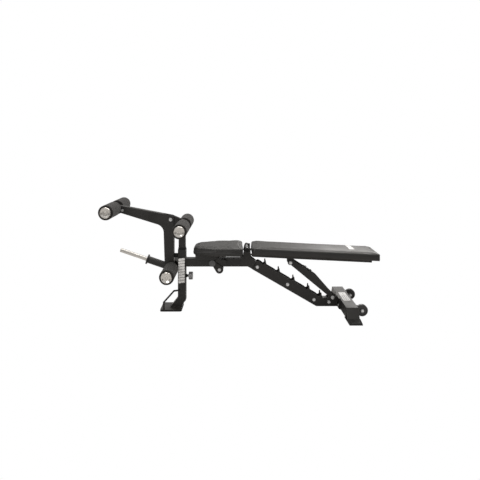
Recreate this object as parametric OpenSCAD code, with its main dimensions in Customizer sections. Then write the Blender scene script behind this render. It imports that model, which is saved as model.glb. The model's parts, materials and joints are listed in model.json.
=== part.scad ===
// Adjustable weight bench with a leg lever. A square-tube frame carries a tilting seat, a backrest held by
// a strut in a hooked ladder, and a height-adjustable leg post with a swinging lever and foam rollers.
// Millimetres. The origin is the centre of the front foot's underside, +X runs to the rear and +Z is up.

/* [Frame] */
// Outside width of the square frame tube
tube_w = 55; // [54:0.5:56]
// Wall of the square frame tube
tube_wall = 4; // [3.5:0.1:4]
// Height of the main beam's underside
beam_z = 294; // [292:1:296]
// Centre line of the front post
post_x = 70; // [69:1:71]
// Height of the front post's open top
post_top = 410; // [400:1:415]
// Slope of the rear spine below level
spine_slope = 30; // [29.5:0.1:30.5]

/* [Feet] */
// Length of the front foot plate along the bench
foot_l = 148; // [140:1:150]
// Width of the front foot plate
foot_w = 166; // [150:2:180]
// Thickness of the front foot's rubber pad
foot_pad_t = 5; // [4:1:6]
// Thickness of the front foot's steel plate
foot_plate_t = 8; // [6:1:8]
// Half width of the rear crossbar's steel tube
crossbar_half = 238; // [230:1:245]
// Half width over the rear feet
rear_half = 352; // [345:1:360]

/* [Seat and back] */
// Position of the hinge axle along the bench
hinge_x = 521; // [520:1:522]
// Height of the hinge axle
hinge_z = 422; // [421:1:423]
// Diameter of the hinge axle
axle_d = 16; // [14:0.5:16]
// Angle of the resting backrest below level
back_rest_angle = 2.83; // [2.5:0.01:3]
// Width of the back pad
back_w = 280; // [260:5:300]
// Distance from the hinge axle to the back pad's rear end
back_end = 907; // [890:1:915]
// Width of the seat pad at its rear end
seat_rear_w = 300; // [280:5:310]
// Width of the seat pad at its front end
seat_front_w = 196; // [180:2:220]

/* [Leg lever] */
// Outside width of the sliding inner post
inner_w = 46; // [45:0.5:46]
// Pitch of the adjustment holes in the inner post
hole_pitch = 20; // [20:1:21]
// Height of the lever's pivot
pivot_z = 620; // [618:1:622]
// Outside diameter of the foam rollers
roller_d = 99; // [94:1:100]
// Half width over the rollers' end caps
roller_half = 274; // [266:1:280]
// Diameter of the steel roller bars
bar_d = 25; // [24:0.5:25]
// Diameter of the weight horn's bare bar
horn_d = 28; // [25:0.5:30]

/* [Hidden] */
$fn = 48;

// Radial running clearance of a shaft in a hole
run = 0.05;
steel = [0.07, 0.07, 0.075];
vinyl = [0.09, 0.09, 0.09];
foam = [0.16, 0.16, 0.16];
bright = [0.8, 0.8, 0.82];
rubber = [0.04, 0.04, 0.04];

half_tube = tube_w / 2;
post_front = post_x - half_tube;
post_rear = post_x + half_tube;
foot_top = foot_pad_t + foot_plate_t;
// The post leans forward below these two kinks
front_kink = 79;
rear_kink = 60;
lean = 39;

beam_end = hinge_x + 7;
beam_top = beam_z + tube_w;
spine_floor = 20;
spine_run = (beam_z - spine_floor) / tan(spine_slope);
spine_bend = beam_end + spine_run;
flange_x = 1155;
flange_t = 10;
crossbar_x = flange_x + flange_t;
crossbar_w = 78;
crossbar_z = 8;
crossbar_h = 70;

// Layers across the bench, from the centre line outwards
plate_in = half_tube;
plate_out = plate_in + 6;
bracket_in = 30;
bracket_out = 36;
strut_in = 38;
strut_out = 44;
seat_ear_in = 72;
seat_ear_out = 80;
back_ear_in = 82;
back_ear_out = 90;

// Heights of the ladder's upper edge and of the hooks' seats, square to the spine
ladder_n = 69.5;
hook_n = 76;
hook_d = 18;
// Distance of each hook's seat from the beam's end, along the spine
hooks = [80, 190, 309, 429, 526];
foot_rod_x = 1114;
foot_rod_z = 83.4;
foot_rod_d = 16;
strut_pivot_x = 823;
strut_pivot_z = 323;
strut_bolt_d = 12;

wheel_x = crossbar_x + crossbar_w + 39;
wheel_z = 41;
wheel_r = 38;
wheel_in = 166;
wheel_out = 194;

seat_front_x = 151;
seat_rear_x = 494;
seat_frame_x = 168;
seat_z = 387;
seat_top = 443;
seat_lug_x = 331;
seat_lug_z = 274;
seat_pin_x = 283;
seat_pin_z = 325;
seat_pin_d = 14;

pivot_x = -8;
pivot_d = 16;
knee_x = 80;
knee_z = 575;
curl_x = -397;
curl_z = 698;
ankle_x = -3;
ankle_z = 279;
lever_back_x = 14;
lever_front_x = -48;
lever_foot_z = 255;
lever_inner = 19;
lever_outer = 25;
horn_tilt = 19;
lock_z = 225;
lock_d = 10;
roller_in = 36;
roller_out = roller_half - 9;

// Direction, corner and outline helpers. An outline's entry is [x, z, corner radius].
function unit(v) = v / norm(v);
function turn(a) = a > 180 ? a - 360 : a < -180 ? a + 360 : a;
function arc(c, r, a0, sweep, n) = [for (i = [0:n])
    c + r * [cos(a0 + sweep * i / n), sin(a0 + sweep * i / n)]];
function fillet(a, b, c, r, n) = let(
    u = unit(a - b),
    v = unit(c - b),
    half = acos(u * v) / 2,
    centre = b + unit(u + v) * r / sin(half),
    s = b + u * r / tan(half) - centre,
    e = b + v * r / tan(half) - centre,
    a0 = atan2(s[1], s[0]))
    arc(centre, r, a0, turn(atan2(e[1], e[0]) - a0), n);
function xz(p) = [p[0], p[1]];
function outline(p, n = 6) = [for (i = [0:len(p) - 1]) let(
    a = xz(p[(i + len(p) - 1) % len(p)]),
    b = xz(p[i]),
    c = xz(p[(i + 1) % len(p)]))
    each p[i][2] > 0 ? fillet(a, b, c, p[i][2], n) : [b]];
function reverse(p) = [for (i = [len(p) - 1:-1:0]) p[i]];
// A point on the spine: u runs down the slope from the beam's end, n stands square to it
function slope(u, n) = [beam_end + u * cos(spine_slope) + n * sin(spine_slope),
    beam_z - u * sin(spine_slope) + n * cos(spine_slope)];

// Extrudes a side profile from y0 to y1
module along_y(y0, y1) translate([0, y1, 0]) rotate([90, 0, 0]) linear_extrude(y1 - y0) children();
module both_sides() {
    children();
    mirror([0, 1, 0]) children();
}
module rod_y(x, z, d, y0, y1) translate([x, y1, z]) rotate([90, 0, 0]) cylinder(d = d, h = y1 - y0);
module rod_between(a, b, d) {
    v = b - a;
    translate(a) rotate([0, acos(v[2] / norm(v)), atan2(v[1], v[0])]) cylinder(d = d, h = norm(v));
}
// A washer and hexagon head that sits on a face at y, pointing to +Y
module head_y(x, z, y, d) {
    rod_y(x, z, d * 2, y, y + 2.5);
    translate([x, y + 2.5 + d * 0.6, z]) rotate([90, 0, 0]) cylinder(d = d * 1.7, h = d * 0.6, $fn = 6);
}
// Places children in the backrest's own axes: the hinge axle at the origin, +X along the pad
module in_back() translate([hinge_x, 0, hinge_z]) rotate([0, back_rest_angle, 0]) children();
module rounded_plate(l, w, r, h) hull() {
    for (sx = [-1, 1], sy = [-1, 1])
        translate([sx * (l / 2 - r), sy * (w / 2 - r), 0]) cylinder(r = r, h = h, $fn = 32);
}

module front_foot_pad() color(rubber) rounded_plate(foot_l, foot_w, 16, foot_pad_t);
module front_foot_plate() color(steel)
    translate([0, 0, foot_pad_t]) rounded_plate(foot_l - 2, foot_w - 2, 15, foot_plate_t);

module post_profile(inset) {
    drop = tan(lean);
    polygon([
        [post_front + inset, post_top],
        [post_front + inset, front_kink],
        [post_front + inset / cos(lean) - (front_kink - foot_top) * drop, foot_top],
        [post_rear - inset / cos(lean) - (rear_kink - foot_top) * drop, foot_top],
        [post_rear - inset, rear_kink],
        [post_rear - inset, post_top]]);
}
module front_post() color(steel) difference() {
    along_y(-half_tube, half_tube) post_profile(0);
    along_y(-half_tube + tube_wall, half_tube - tube_wall) post_profile(tube_wall);
    translate([post_front + tube_wall, -half_tube + tube_wall, post_top - 10])
        cube([tube_w - 2 * tube_wall, tube_w - 2 * tube_wall, 20]);
    translate([post_rear - tube_wall - 1, 0, lock_z]) rotate([0, 90, 0])
        cylinder(d = lock_d + 2, h = tube_wall + 2);
}

// Bent grab rod from the foot plate up to the post's near face
handle_points = [[-49, -70, foot_top], [-49, -70, 60], [18, -46, 131], [50, -33.9, 132]];
handle_d = 12;
module front_handle_rod() color(steel) {
    for (i = [0:2]) rod_between(handle_points[i], handle_points[i + 1], handle_d);
    for (i = [1:3]) translate(handle_points[i]) sphere(d = handle_d + 0.8);
}

module lock_barrel() color(rubber) translate([post_rear, 0, lock_z]) rotate([0, 90, 0]) difference() {
    union() {
        cylinder(d = 24, h = 8, $fn = 6);
        cylinder(d = 17, h = 13);
    }
    translate([0, 0, -1]) cylinder(d = lock_d + 2 * run, h = 16);
}
module lock_knob() color(bright) translate([post_rear, 0, lock_z]) rotate([0, 90, 0]) {
    translate([0, 0, -12]) cylinder(d = lock_d, h = 27);
    translate([0, 0, 14]) cylinder(d = 20, h = 6);
    translate([0, 0, 19]) cylinder(d = 52, h = 27);
}

module main_beam() color(steel) difference() {
    along_y(-half_tube, half_tube) polygon([
        [post_rear, beam_z],
        [beam_end, beam_z],
        [beam_end + tube_w * tan(spine_slope / 2), beam_top],
        [post_rear, beam_top]]);
    along_y(-half_tube + tube_wall, half_tube - tube_wall)
        polygon([[post_rear - 1, beam_z + tube_wall], [beam_end + 20, beam_z + tube_wall],
            [beam_end + 40, beam_top - tube_wall], [post_rear - 1, beam_top - tube_wall]]);
}
module spine_profile(inset) {
    k = tan(spine_slope / 2);
    far = flange_x + inset * 0.5;
    polygon([
        [beam_end + inset * k, beam_z + inset],
        [spine_bend + inset * k, spine_floor + inset],
        [far, spine_floor + inset],
        [far, spine_floor + tube_w - inset],
        [spine_bend + (tube_w - inset) * k, spine_floor + tube_w - inset],
        [beam_end + (tube_w - inset) * k, beam_top - inset]]);
}
module spine_tube() color(steel) difference() {
    along_y(-half_tube, half_tube) spine_profile(0);
    along_y(-half_tube + tube_wall, half_tube - tube_wall) spine_profile(tube_wall);
    along_y(-half_tube + tube_wall, half_tube - tube_wall) polygon([
        [beam_end - 5, beam_z + tube_wall], [beam_end + 6, beam_z + tube_wall],
        [beam_end + 20, beam_top - tube_wall], [beam_end + 5, beam_top - tube_wall]]);
}

module hinge_plates() color(steel) both_sides() difference() {
    along_y(half_tube, half_tube + 8) polygon(outline([
        [hinge_x - 42, beam_z + 4, 0],
        [hinge_x + 4, beam_z + 4, 0],
        [hinge_x + 34, beam_z - 12, 0],
        [hinge_x + 66, beam_z + 34, 0],
        [hinge_x + 30, beam_z + 62, 12],
        [hinge_x + 13, hinge_z + 12, 12],
        [hinge_x - 13, hinge_z + 12, 12],
        [hinge_x - 26, beam_z + 70, 14],
        [hinge_x - 42, beam_top, 0]]));
    rod_y(hinge_x, hinge_z, axle_d, 0, 100);
}
// The axle, with a spacer sleeve between the hinge plates and one on each side of them
module hinge_axle() color(bright) {
    rod_y(hinge_x, hinge_z, axle_d, -back_ear_out - 6, back_ear_out + 6);
    rod_y(hinge_x, hinge_z, axle_d + 6, -half_tube + 0.2, half_tube - 0.2);
    both_sides() rod_y(hinge_x, hinge_z, axle_d + 6, half_tube + 8.2, seat_ear_in - 0.5);
}
module axle_caps() color(rubber) both_sides() difference() {
    rod_y(hinge_x, hinge_z, 28, back_ear_out + 0.5, back_ear_out + 9);
    rod_y(hinge_x, hinge_z, axle_d, back_ear_out, back_ear_out + 6);
}

// One hook, down the slope: a rounded seat for the strut's rod, an upright finger and its buttress
function hook_points(u) = let(c = slope(u, hook_n)) concat(
    [slope(u - 13, ladder_n)],
    arc(c, hook_d / 2, -90 - spine_slope, 90 + spine_slope, 5),
    [c + [9.5, 14], c + [12, 18], c + [17, 17], c + [19, 2], slope(u + 34, ladder_n)]);
function ladder_points() = concat(
    [slope(36, 0), [spine_bend, spine_floor], [1150, spine_floor], [1150, 82], [1144, 88]],
    [[foot_rod_x + 24, 88], [foot_rod_x + 16, 99], [foot_rod_x + 11, 97]],
    arc([foot_rod_x, foot_rod_z], hook_d / 2, 0, -140, 6),
    [[foot_rod_x - 20, 88], slope(hooks[4] + 52, 62)],
    [for (i = [4:-1:0]) each reverse(hook_points(hooks[i]))],
    [slope(44, ladder_n), slope(36, 60)]);
bolt_points = [slope(58, 31), slope(300, 31), slope(511, 31), [1090, 49]];
module ladder_plate(y0) color(steel) difference() {
    along_y(y0, y0 + 6) polygon(ladder_points());
    for (p = bolt_points) rod_y(p[0], p[1], strut_bolt_d, y0 - 1, y0 + 7);
}
module ladder_plate_left() ladder_plate(plate_in);
module ladder_plate_right() ladder_plate(-plate_out);
module frame_bolts() color(bright) {
    for (p = bolt_points) both_sides() {
        head_y(p[0], p[1], plate_out, 11);
        rod_y(p[0], p[1], 11, half_tube, plate_out);
    }
    both_sides() translate([flange_x - 2, 44, 33]) rotate([0, 90, 0]) {
        cylinder(d = 22, h = 2);
        translate([0, 0, -6]) cylinder(d = 18, h = 6.5, $fn = 6);
    }
}

module rear_flange() color(steel) translate([flange_x, -60, 8]) cube([flange_t, 120, 74]);
// Extrudes a profile seen from the rear end, [y, z], along the bench
module along_x(x, l) translate([x, 0, 0]) rotate([90, 0, 90]) linear_extrude(l) children();
// The crossbar's tube, with a leaning plate welded over each end
module rear_crossbar() color(steel) {
    difference() {
        translate([crossbar_x, -crossbar_half, crossbar_z])
            cube([crossbar_w, 2 * crossbar_half, crossbar_h]);
        translate([crossbar_x + tube_wall, -crossbar_half - 1, crossbar_z + tube_wall])
            cube([crossbar_w - 2 * tube_wall, 2 * crossbar_half + 2, crossbar_h - 2 * tube_wall]);
    }
    both_sides() along_x(crossbar_x, crossbar_w) polygon([
        [crossbar_half - 1, crossbar_z + crossbar_h], [crossbar_half + 6, crossbar_z + crossbar_h],
        [crossbar_half + 49, 16], [crossbar_half + 49, crossbar_z], [crossbar_half + 37, crossbar_z],
        [crossbar_half - 1, 67]]);
}
// Moulded foot under the leaning plate, with a flared lip on the floor
module rear_foot() color(rubber) along_x(crossbar_x - 3, crossbar_w + 6) polygon([
    [crossbar_half - 34, 0], [rear_half, 0], [rear_half, 4], [rear_half - 4, 8], [crossbar_half + 54, 19],
    [crossbar_half + 49.2, 19], [crossbar_half + 49.2, crossbar_z], [crossbar_half - 34, crossbar_z]]);
module rear_foot_left() rear_foot();
module rear_foot_right() mirror([0, 1, 0]) rear_foot();

module wheel_brackets() color(steel) both_sides() difference() {
    along_y(wheel_in - 12, wheel_in - 4) polygon(outline([
        [crossbar_x + crossbar_w, 16, 0], [wheel_x + 12, 24, 12], [wheel_x + 12, 56, 12],
        [crossbar_x + crossbar_w, 70, 0]]));
    rod_y(wheel_x, wheel_z, 10, 0, 200);
}
module wheel_bolts() color(bright) both_sides() {
    rod_y(wheel_x, wheel_z, 10, wheel_in - 18, wheel_out + 2);
    head_y(wheel_x, wheel_z, wheel_out + 0.5, 10);
    rod_y(wheel_x, wheel_z, 18, wheel_in - 20, wheel_in - 12);
}
module wheel() color(rubber) rotate([90, 0, 0]) rotate_extrude() polygon([
    [5 + run, 0], [16, 0], [16, 3], [30, 3], [30, 0], [wheel_r - 3, 0], [wheel_r, 3],
    [wheel_r, 25], [wheel_r - 3, 28], [30, 28], [30, 25], [16, 25], [16, 28], [5 + run, 28]]);
module wheel_left() translate([wheel_x, wheel_out, wheel_z]) wheel();
module wheel_right() translate([wheel_x, -wheel_in, wheel_z]) wheel();

module seat_strut_lugs() color(steel) both_sides() {
    along_y(14, 20) polygon(outline([[seat_lug_x - 26, beam_z, 0], [seat_lug_x - 13, seat_lug_z - 15, 12],
        [seat_lug_x + 13, seat_lug_z - 15, 12], [seat_lug_x + 26, beam_z, 0]]));
    rod_y(seat_lug_x, seat_lug_z, 24, 20, bracket_in - 0.5);
}
module seat_strut_bolt() color(bright) {
    both_sides() rod_y(seat_lug_x, seat_lug_z, 12, bracket_in - 0.4, bracket_out + 1);
    both_sides() head_y(seat_lug_x, seat_lug_z, bracket_out + 0.5, 11);
}
module seat_strut_arms() color(steel) both_sides() {
    difference() {
        union() {
            along_y(bracket_in, bracket_out) hull() {
                translate([seat_lug_x, seat_lug_z]) circle(r = 27, $fn = 32);
                translate([seat_pin_x, seat_pin_z]) circle(r = 12, $fn = 32);
            }
            rod_y(seat_pin_x, seat_pin_z, seat_pin_d, bracket_out, 55);
        }
        rod_y(seat_lug_x, seat_lug_z, 12, bracket_in - 1, bracket_out + 1);
    }
}
module seat_strut_grips() color([0.35, 0.35, 0.35]) both_sides() {
    rod_y(seat_pin_x, seat_pin_z, 44, 55, 69);
    rod_y(seat_pin_x, seat_pin_z, 38, 69, 70);
}
// The seat's supports follow the strut's pin: each notch is a half-round in the plate's sloping lower edge
seat_notches = [for (p = [[0, 0], [35, -5], [68, -15]]) [seat_pin_x, seat_pin_z] + p];
module seat_notch_plates() color(steel) both_sides() difference() {
    along_y(strut_out, strut_out + 8) polygon(outline([
        [seat_pin_x - 22, seat_z - 3, 0], [seat_pin_x - 22, seat_pin_z - 6, 4],
        [seat_pin_x - 9, seat_pin_z - 6, 3], [seat_pin_x - 8, seat_pin_z + 9, 0],
        [seat_pin_x + 98, seat_pin_z - 13, 6], [seat_pin_x + 98, seat_pin_z + 18, 10],
        [seat_pin_x + 48, seat_pin_z + 27, 8], [seat_pin_x + 30, seat_z - 3, 0]]));
    for (p = seat_notches) rod_y(p[0], p[1], seat_pin_d + 2, strut_in, strut_out + 10);
}

module seat_side_profile() polygon(outline([
    [seat_frame_x, seat_z, 0], [seat_frame_x, 362, 0], [seat_frame_x + 9, 351, 0],
    [seat_frame_x + 133, 351, 6], [seat_frame_x + 151, 375, 6], [hinge_x - 38, 380, 14],
    [hinge_x + 15, hinge_z - 22, 14], [hinge_x + 14, hinge_z + 12, 12], [hinge_x - 14, hinge_z + 12, 12],
    [hinge_x - 26, seat_z, 3]]));
module seat_frame() color(steel) {
    both_sides() difference() {
        along_y(seat_ear_in, seat_ear_out) seat_side_profile();
        rod_y(hinge_x, hinge_z, axle_d + 2 * run, 0, 100);
    }
    translate([seat_frame_x, -seat_ear_in, 362]) cube([8, 2 * seat_ear_in, seat_z - 362]);
    translate([seat_pin_x - 30, -seat_ear_in, 356]) cube([8, 2 * seat_ear_in, seat_z - 356]);
    translate([seat_frame_x + 8, -seat_ear_in, seat_z - 3]) cube([290, 2 * seat_ear_in, 3]);
}
module seat_outline(inset) hull() {
    for (s = [-1, 1]) {
        translate([seat_front_x + 42, s * (seat_front_w / 2 - 42)]) circle(r = 42 - inset, $fn = 32);
        translate([seat_rear_x - 16, s * (seat_rear_w / 2 - 16)]) circle(r = 16 - inset, $fn = 32);
        translate([seat_front_x + 160, s * (seat_rear_w / 2 - 22)]) circle(r = 18 - inset, $fn = 32);
    }
}
module seat_board() color([0.55, 0.42, 0.28]) translate([0, 0, seat_z]) linear_extrude(12) seat_outline(10);
module seat_pad() color(vinyl) difference() {
    translate([0, 0, seat_z + 1]) linear_extrude(seat_top - seat_z - 1) seat_outline(0);
    translate([0, 0, seat_z - 1]) linear_extrude(13) seat_outline(10);
}

pad_bottom = -24;
pad_top = 24.4;
rail_bottom = -45;
rail_end = 856;
module back_rails() color(steel) in_back() both_sides() difference() {
    along_y(back_ear_in, back_ear_out) polygon(outline([
        [-14, -15, 13], [20, -28, 12], [44, rail_bottom, 8], [rail_end, rail_bottom, 4],
        [rail_end, pad_bottom, 0], [26, pad_bottom, 4], [24, 12, 0], [-14, 12, 12]]));
    rod_y(0, 0, axle_d + 2 * run, 0, 100);
}
module back_straps() color(steel) in_back()
    for (u = [60, 284, 560, 812])
        translate([u, -back_ear_in, pad_bottom - 8]) cube([44, 2 * back_ear_in, 8]);
module back_board() color([0.55, 0.42, 0.28]) in_back()
    translate([38, -back_w / 2 + 10, pad_bottom]) cube([back_end - 48, back_w - 20, 12]);
module back_pad() color(vinyl) in_back() difference() {
    translate([(28 + back_end) / 2, 0, pad_bottom + 1])
        rounded_plate(back_end - 28, back_w, 24, pad_top - pad_bottom - 1);
    translate([38, -back_w / 2 + 10, pad_bottom - 1]) cube([back_end - 48, back_w - 20, 13]);
}

// The strut pivot's place in the backrest's axes
back_pivot_u = 306.5;
back_pivot_w = -84;
module back_strut_bracket() color(steel) in_back() both_sides() difference() {
    along_y(bracket_in, bracket_out) polygon(outline([
        [284, pad_bottom - 8, 0], [back_pivot_u - 17, back_pivot_w - 17, 16],
        [back_pivot_u + 17, back_pivot_w - 17, 16], [328, pad_bottom - 8, 0]]));
    rod_y(back_pivot_u, back_pivot_w, strut_bolt_d, 0, 100);
}
module back_strut_bolt() color(bright) in_back() {
    rod_y(back_pivot_u, back_pivot_w, strut_bolt_d, -strut_out - 2, strut_out + 2);
    both_sides() head_y(back_pivot_u, back_pivot_w, strut_out + 0.5, 11);
}

// The strut's own axes: +X from its top pivot to its foot rod
strut_run = [foot_rod_x - strut_pivot_x, foot_rod_z - strut_pivot_z];
strut_l = norm(strut_run);
strut_angle = -atan2(strut_run[1], strut_run[0]);
module in_strut() translate([strut_pivot_x, 0, strut_pivot_z]) rotate([0, strut_angle, 0]) children();
module back_strut() color(steel) in_strut() {
    both_sides() difference() {
        along_y(strut_in, strut_out) polygon(outline([
            [-17, -10, 14], [strut_l - 30, -10, 30], [strut_l - 8, -16, 12], [strut_l + 15, -15, 14],
            [strut_l + 15, 15, 14], [strut_l - 40, 21, 12], [202, 43, 20], [104, 36, 12], [6, 24, 12],
            [-17, 15, 12]]));
        rod_y(0, 0, strut_bolt_d + 2 * run, 0, 100);
        rod_y(strut_l, 0, foot_rod_d, 0, 100);
    }
    translate([92, -strut_in - 1, 26]) rotate([0, -4, 0]) cube([84, 2 * strut_in + 2, 5]);
    translate([250, -strut_in - 1, 12]) cube([6, 2 * strut_in + 2, 16]);
    translate([120, -strut_in - 1, -4]) cube([6, 2 * strut_in + 2, 33]);
}
module strut_foot_rod() color(bright) in_strut() {
    rod_y(strut_l, 0, foot_rod_d, -strut_out, strut_out);
    both_sides() head_y(strut_l, 0, strut_out, 12);
}
module strut_bumper() color(rubber) in_strut()
    translate([96, -32, 31.3]) rotate([0, -4, 0]) cube([76, 64, 8]);
module strut_bumper_bolts() color(bright) in_strut()
    for (u = [112, 156]) translate([u, 0, 39.6 + (u - 96) * tan(4)]) rotate([0, -4, 0]) both_sides()
        translate([0, -22, 0]) cylinder(d = 12, h = 4);

// Hole for the lock pin in the inner post's rear wall
module post_hole(z) translate([0, 0, z]) rotate([0, 90, 0]) cylinder(d = lock_d + 1.5, h = 40);
module inner_post() color(steel) translate([post_x, 0, 0]) difference() {
    translate([-inner_w / 2, -inner_w / 2, 90]) cube([inner_w, inner_w, 512]);
    translate([-inner_w / 2 + 3, -inner_w / 2 + 3, 80]) cube([inner_w - 6, inner_w - 6, 518]);
    for (i = [0:6]) post_hole(lock_z - i * hole_pitch);
    for (i = [7:12]) post_hole(lock_z + i * hole_pitch);
    rod_y(knee_x - post_x, knee_z, bar_d, -50, 50);
}
module lever_bracket() color(steel) {
    both_sides() difference() {
        along_y(9, 17) polygon(outline([
            [pivot_x - 24, pivot_z - 22, 20], [post_x - inner_w / 2, 548, 0],
            [post_x - inner_w / 2, 602, 0], [post_x + inner_w / 2, 602, 0],
            [post_x + inner_w / 2, 610, 0], [pivot_x + 14, pivot_z + 27, 20],
            [pivot_x - 26, pivot_z + 26, 24]]));
        rod_y(pivot_x, pivot_z, pivot_d, 0, 100);
    }
    translate([post_x - inner_w / 2 - 5, -9, 552]) cube([5, 18, 56]);
    difference() {
        rod_y(pivot_x, pivot_z, 30, -9, 9);
        rod_y(pivot_x, pivot_z, pivot_d, -10, 10);
    }
}
module lever_pivot_bolt() color(bright) {
    rod_y(pivot_x, pivot_z, pivot_d, -lever_outer - 2, lever_outer + 2);
    both_sides() head_y(pivot_x, pivot_z, lever_outer + 0.5, 12);
}

// A steel bar across the bench with an inner washer for each roller
module roller_bar(x, z) color(bright) {
    rod_y(x, z, bar_d, -roller_out - 0.5, roller_out + 0.5);
    both_sides() rod_y(x, z, 58, roller_in - 3.5, roller_in - 0.5);
}
// Dished end cap with a hexagon bolt in its hollow
module roller_cap(x, z) color(bright) translate([x, roller_out + 0.5, z]) rotate([-90, 0, 0]) {
    rotate_extrude() polygon([[0, 0], [36, 0], [36, 5], [34, 8.5], [31, 8.5], [21, 3.5], [0, 2.5]]);
    cylinder(d = 20, h = 5, $fn = 6);
    translate([0, 0, 5]) cylinder(d1 = 20, d2 = 12, h = 3, $fn = 6);
}
module roller(x, z) color(foam) difference() {
    rod_y(x, z, roller_d, roller_in, roller_out);
    rod_y(x, z, bar_d + 2 * run, roller_in - 1, roller_out + 1);
}
module knee_roller_bar() roller_bar(knee_x, knee_z);
module curl_roller_bar() roller_bar(curl_x, curl_z);
module ankle_roller_bar() roller_bar(ankle_x, ankle_z);
module knee_roller_caps() both_sides() roller_cap(knee_x, knee_z);
module lever_roller_caps() both_sides() {
    roller_cap(curl_x, curl_z);
    roller_cap(ankle_x, ankle_z);
}
module knee_roller_left() roller(knee_x, knee_z);
module knee_roller_right() mirror([0, 1, 0]) roller(knee_x, knee_z);
module curl_roller_left() roller(curl_x, curl_z);
module curl_roller_right() mirror([0, 1, 0]) roller(curl_x, curl_z);
module ankle_roller_left() roller(ankle_x, ankle_z);
module ankle_roller_right() mirror([0, 1, 0]) roller(ankle_x, ankle_z);

function arm_top(x) = 645.4 - 0.1906 * (x - lever_back_x);
function arm_bottom(x) = 573.5 - 0.3108 * (x - lever_front_x) - 3;
arm_end = curl_x - 24;
function lever_points(d) = [
    [lever_back_x - d, lever_foot_z + d, 14],
    [lever_back_x - d, arm_top(lever_back_x) - d, 16 - d],
    [arm_end + d, arm_top(arm_end) - d, 18 - d],
    [arm_end + d, arm_bottom(arm_end) + d, 18 - d],
    [lever_front_x - 10 + d, arm_bottom(lever_front_x - 10) + d, 60 + d],
    [lever_front_x + d, lever_foot_z + d, 14 - d]];
module leg_lever() color(steel) {
    difference() {
        both_sides() along_y(lever_inner, lever_outer) polygon(outline(lever_points(0), 8));
        rod_y(pivot_x, pivot_z, pivot_d + 2 * run, -40, 40);
        rod_y(curl_x, curl_z, bar_d, -40, 40);
        rod_y(ankle_x, ankle_z, bar_d, -40, 40);
    }
    difference() {
        along_y(-lever_inner, lever_inner) polygon(outline(lever_points(0), 8));
        along_y(-lever_inner - 1, lever_inner + 1) polygon(outline(lever_points(5), 8));
        rod_y(curl_x, curl_z, bar_d, -lever_outer, lever_outer);
        rod_y(ankle_x, ankle_z, bar_d, -lever_outer, lever_outer);
        translate([-58, -lever_outer, 556]) cube([100, 2 * lever_outer, 120]);
    }
}
// Rubber buffer between the lever and the post, with a small gap left at the post
stop_gap = 2.5;
module lever_stop() color(rubber)
    translate([lever_back_x, -16, 356]) cube([post_front - lever_back_x - stop_gap, 32, 24]);
module lever_end_bolts() color(bright) both_sides()
    head_y(curl_x + 54, curl_z - 13, lever_outer, 9);

horn_base_z = 297;
horn_start = [lever_front_x, horn_base_z];
module in_horn() translate([horn_start[0], 0, horn_start[1]]) rotate([0, horn_tilt - 90, 0]) children();
module horn_sleeve() color(steel) difference() {
    in_horn() translate([0, 0, -20]) cylinder(d = 48, h = 146);
    along_y(-40, 40) polygon(outline(lever_points(0), 8));
    translate([lever_front_x + 10, -40, 200]) cube([80, 80, 200]);
}
module horn_collar() color(steel) in_horn() translate([0, 0, 126]) cylinder(d = 68, h = 9);
// The bar starts on the collar with a short relief groove, and ends in a chamfer
module horn_bar() color(bright) in_horn() {
    translate([0, 0, 135]) cylinder(d = horn_d - 1, h = 3);
    translate([0, 0, 137]) cylinder(d = horn_d, h = 192);
    translate([0, 0, 329]) cylinder(d1 = horn_d, d2 = horn_d - 4, h = 2);
}

front_foot_pad();
front_foot_plate();
front_post();
front_handle_rod();
lock_barrel();
main_beam();
hinge_plates();
hinge_axle();
axle_caps();
spine_tube();
ladder_plate_left();
ladder_plate_right();
frame_bolts();
rear_flange();
rear_crossbar();
rear_foot_left();
rear_foot_right();
wheel_brackets();
wheel_bolts();
seat_strut_lugs();
seat_frame();
seat_board();
seat_pad();
seat_notch_plates();
seat_strut_arms();
seat_strut_bolt();
seat_strut_grips();
back_rails();
back_straps();
back_board();
back_pad();
back_strut_bracket();
back_strut_bolt();
back_strut();
strut_foot_rod();
strut_bumper();
strut_bumper_bolts();
inner_post();
lever_bracket();
lever_pivot_bolt();
knee_roller_bar();
knee_roller_caps();
leg_lever();
lever_stop();
horn_sleeve();
horn_collar();
horn_bar();
curl_roller_bar();
ankle_roller_bar();
lever_roller_caps();
lever_end_bolts();
knee_roller_left();
knee_roller_right();
curl_roller_left();
curl_roller_right();
ankle_roller_left();
ankle_roller_right();
lock_knob();
wheel_left();
wheel_right();
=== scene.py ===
"""Adjustable weight bench with a leg lever: finishes, pads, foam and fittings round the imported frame."""
import json
import math

import bmesh
import bpy
from mathutils import Matrix, Vector, noise
from mathutils.bvhtree import BVHTree


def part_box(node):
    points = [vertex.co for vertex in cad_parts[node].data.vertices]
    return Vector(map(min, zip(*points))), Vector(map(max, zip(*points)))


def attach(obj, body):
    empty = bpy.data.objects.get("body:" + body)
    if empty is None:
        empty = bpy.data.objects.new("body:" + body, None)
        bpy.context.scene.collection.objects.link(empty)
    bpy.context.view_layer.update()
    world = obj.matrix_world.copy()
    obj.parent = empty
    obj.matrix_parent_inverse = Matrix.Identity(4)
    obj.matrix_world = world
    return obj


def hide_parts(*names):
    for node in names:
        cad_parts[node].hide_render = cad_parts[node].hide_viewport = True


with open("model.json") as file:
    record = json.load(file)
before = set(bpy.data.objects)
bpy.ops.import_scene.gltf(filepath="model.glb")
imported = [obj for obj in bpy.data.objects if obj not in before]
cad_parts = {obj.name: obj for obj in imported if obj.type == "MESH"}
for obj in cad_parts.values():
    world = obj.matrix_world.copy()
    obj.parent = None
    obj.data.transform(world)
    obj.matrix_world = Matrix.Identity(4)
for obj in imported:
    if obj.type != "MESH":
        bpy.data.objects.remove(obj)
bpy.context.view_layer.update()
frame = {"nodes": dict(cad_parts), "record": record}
scene = bpy.context.scene

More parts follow.
